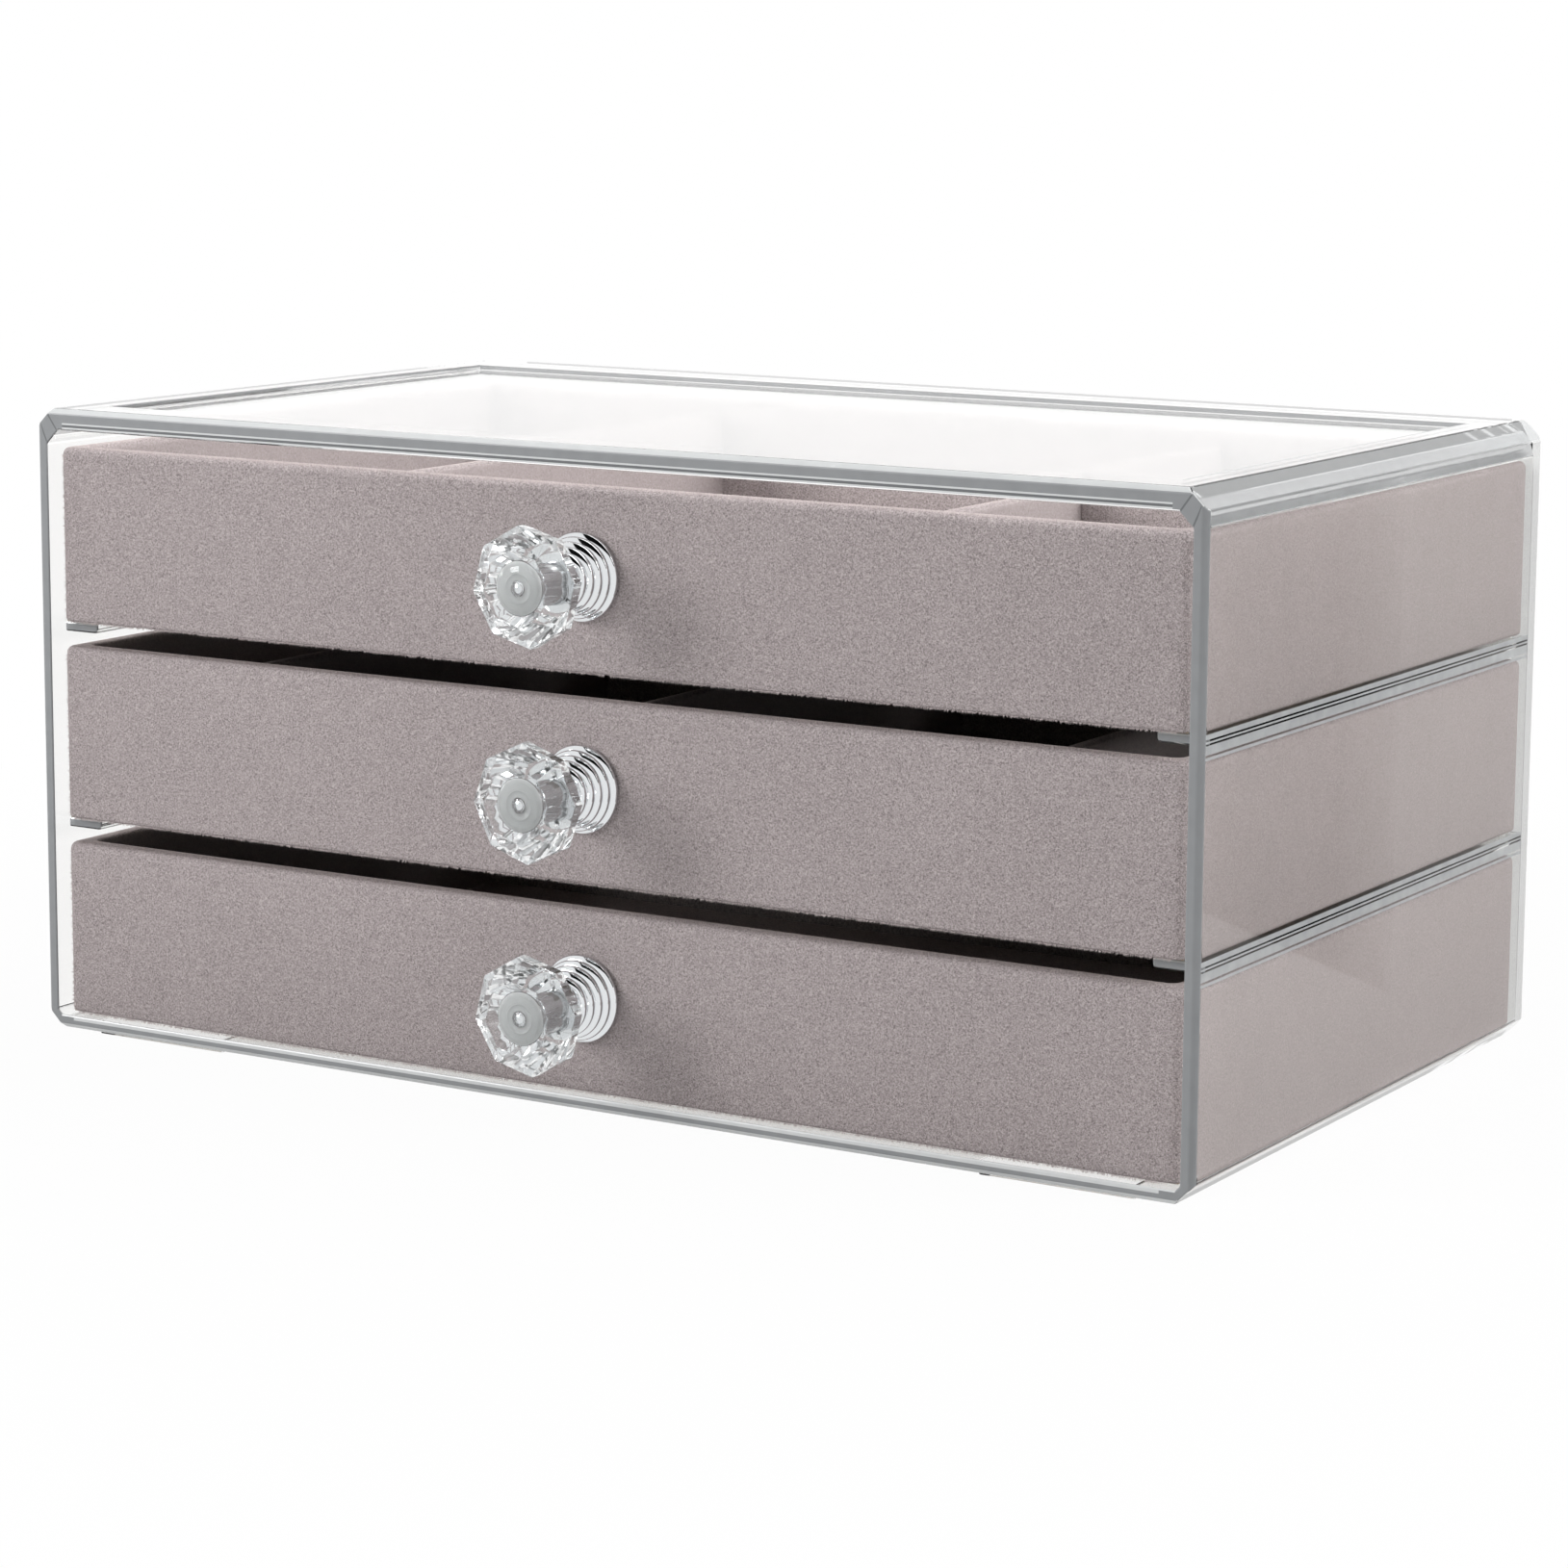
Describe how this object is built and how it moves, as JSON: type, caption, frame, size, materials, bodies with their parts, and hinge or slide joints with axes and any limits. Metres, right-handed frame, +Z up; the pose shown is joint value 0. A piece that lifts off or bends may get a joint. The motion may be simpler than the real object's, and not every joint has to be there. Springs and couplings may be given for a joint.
{
  "type": "earring box",
  "caption": "Clear jewellery casing with velvet-covered drawers that slide out, divided compartments, and crystal-cut knobs on ringed chrome bases.",
  "frame": {"origin": "middle of the part's outline on the surface that its feet stand on, knobs included", "axes": "+Z up, +X to the right seen from the front, and the drawers open towards -Y"},
  "size_m": [0.232, 0.1545, 0.1135],
  "materials": {
    "clear_acrylic": "clear polished acrylic",
    "velvet": "mauve-grey velvet with a short pile",
    "board": "plain grey board",
    "chrome": "bright chrome plate",
    "crystal": "clear faceted acrylic",
    "screw_steel": "zinc plate"
  },
  "bodies": {
    "casing": {"casing": "clear_acrylic", "rail_upper_left": "clear_acrylic", "rail_upper_right": "clear_acrylic", "rail_lower_left": "clear_acrylic", "rail_lower_right": "clear_acrylic"},
    "top_drawer": {"top_front_board": "board", "top_back_board": "board", "top_left_board": "board", "top_right_board": "board", "top_base_board": "board", "top_velvet_cover": "velvet", "top_floor_lining": "velvet", "top_knob_base": "chrome", "top_knob_crystal": "crystal", "top_knob_screw": "screw_steel", "top_divider_left": "velvet", "top_divider_right": "velvet", "top_cross_right": "velvet"},
    "middle_drawer": {"middle_front_board": "board", "middle_back_board": "board", "middle_left_board": "board", "middle_right_board": "board", "middle_base_board": "board", "middle_velvet_cover": "velvet", "middle_floor_lining": "velvet", "middle_knob_base": "chrome", "middle_knob_crystal": "crystal", "middle_knob_screw": "screw_steel", "middle_divider_left": "velvet", "middle_divider_centre": "velvet", "middle_divider_right": "velvet"},
    "bottom_drawer": {"bottom_front_board": "board", "bottom_back_board": "board", "bottom_left_board": "board", "bottom_right_board": "board", "bottom_base_board": "board", "bottom_velvet_cover": "velvet", "bottom_floor_lining": "velvet", "bottom_knob_base": "chrome", "bottom_knob_crystal": "crystal", "bottom_knob_screw": "screw_steel"}
  },
  "joints": [
    {"name": "top_drawer_slide", "type": "slide", "parent": "casing", "child": "top_drawer", "axis": [0, -1, 0], "range_m": [0, 0.1]},
    {"name": "middle_drawer_slide", "type": "slide", "parent": "casing", "child": "middle_drawer", "axis": [0, -1, 0], "range_m": [0, 0.1]},
    {"name": "bottom_drawer_slide", "type": "slide", "parent": "casing", "child": "bottom_drawer", "axis": [0, -1, 0], "range_m": [0, 0.1]}
  ]
}
